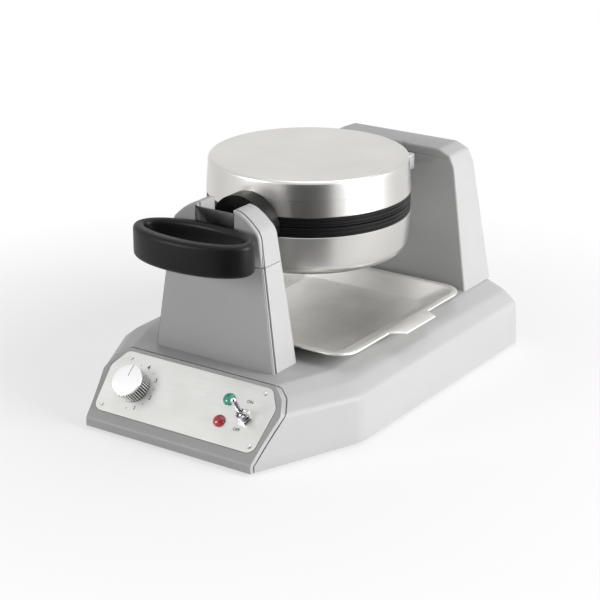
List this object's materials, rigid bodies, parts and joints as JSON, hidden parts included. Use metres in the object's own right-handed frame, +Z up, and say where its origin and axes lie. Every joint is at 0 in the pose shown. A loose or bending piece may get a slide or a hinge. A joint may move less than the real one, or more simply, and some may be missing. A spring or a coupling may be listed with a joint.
{
  "type": "rotating waffle maker",
  "caption": "Round waffle iron that turns over between a front post and a rear tower on a flared base, with dial, lamps, switch, loop handle and drip tray.",
  "frame": {"origin": "middle of the overall length and width, on the surface that the feet stand on", "axes": "+X to the machine's right as the user faces the controls, +Y to the back, +Z up"},
  "size_m": [0.2908, 0.442, 0.2355],
  "materials": {
    "painted_casing": "silver-grey satin paint",
    "stainless_shell": "satin brushed",
    "tray_steel": "satin pressed",
    "faceplate_aluminium": "fine brushed",
    "plated_steel": "zinc plated",
    "cast_aluminium": "sand cast",
    "black_resin": "moulded phenolic",
    "black_rubber": "moulded",
    "bronze_bush": "sintered bronze",
    "knob_metal": "spun",
    "chrome_fitting": "bright nickel chrome",
    "ready_lens": "translucent green",
    "power_lens": "translucent red",
    "phenolic": "moulded",
    "insulation_wool": "ceramic fibre felt"
  },
  "bodies": {
    "base": {"base_housing": "painted_casing", "front_bezel": "painted_casing", "bottom_pan": "plated_steel", "rubber_feet": "black_rubber", "foot_screws": "plated_steel", "pan_screws": "plated_steel", "cord_gland": "black_resin", "terminal_block": "phenolic", "control_plate": "faceplate_aluminium", "plate_rivets": "faceplate_aluminium", "thermostat_body": "phenolic", "thermostat_nut": "chrome_fitting", "ready_lamp_body": "phenolic", "ready_lamp_lens": "ready_lens", "power_lamp_body": "phenolic", "power_lamp_lens": "power_lens", "switch_body": "chrome_fitting", "switch_nut": "chrome_fitting", "front_post_body": "painted_casing", "front_post_cover": "painted_casing", "saddle_body": "painted_casing", "saddle_cover": "painted_casing", "saddle_liner": "black_resin", "stop_blocks": "black_resin", "post_screws": "plated_steel", "tower_shell": "painted_casing", "tower_panel": "painted_casing", "tower_frame": "plated_steel", "bearing_block": "cast_aluminium", "rear_bush": "bronze_bush", "tower_screws": "plated_steel"},
    "rotor": {"lower_shell": "stainless_shell", "lower_band": "black_resin", "lower_grid_plate": "cast_aluminium", "lower_grid_ring": "cast_aluminium", "lower_element": "plated_steel", "lower_insulation": "insulation_wool", "lower_hub": "black_resin", "hinge_yoke": "cast_aluminium", "hinge_pin": "plated_steel", "rotor_shaft": "plated_steel", "shaft_retainer": "plated_steel"},
    "lid": {"upper_shell": "stainless_shell", "upper_band": "black_resin", "upper_grid_plate": "cast_aluminium", "upper_grid_ring": "cast_aluminium", "upper_element": "plated_steel", "upper_insulation": "insulation_wool", "upper_hub": "black_resin", "handle_core": "plated_steel", "handle_neck": "black_resin", "handle_loop": "black_resin", "lid_bracket": "cast_aluminium"},
    "knob": {"thermostat_stem": "plated_steel", "knob_skirt": "black_resin", "knob_cap": "knob_metal"},
    "toggle": {"toggle_lever": "chrome_fitting"},
    "tray": {"drip_tray": "tray_steel"}
  },
  "joints": [
    {"name": "rotor_turn", "type": "hinge", "parent": "base", "child": "rotor", "pos_m": [0, 0.021, 0.19], "axis": [0, 1, 0], "range_deg": [-180, 0]},
    {"name": "lid_open", "type": "hinge", "parent": "rotor", "child": "lid", "pos_m": [0, 0.1325, 0.202], "axis": [-1, 0, 0], "range_deg": [0, 90]},
    {"name": "knob_turn", "type": "hinge", "parent": "base", "child": "knob", "pos_m": [-0.061, -0.19056, 0.04066], "axis": [0, -0.6978, 0.7163], "range_deg": [-150, 120]},
    {"name": "toggle_tilt", "type": "hinge", "parent": "base", "child": "toggle", "pos_m": [0.0697, -0.19368, 0.04487], "axis": [1, 0, 0], "range_deg": [0, 20]},
    {"name": "tray_slide", "type": "slide", "parent": "base", "child": "tray", "axis": [1, 0, 0], "range_m": [0, 0.21]}
  ]
}
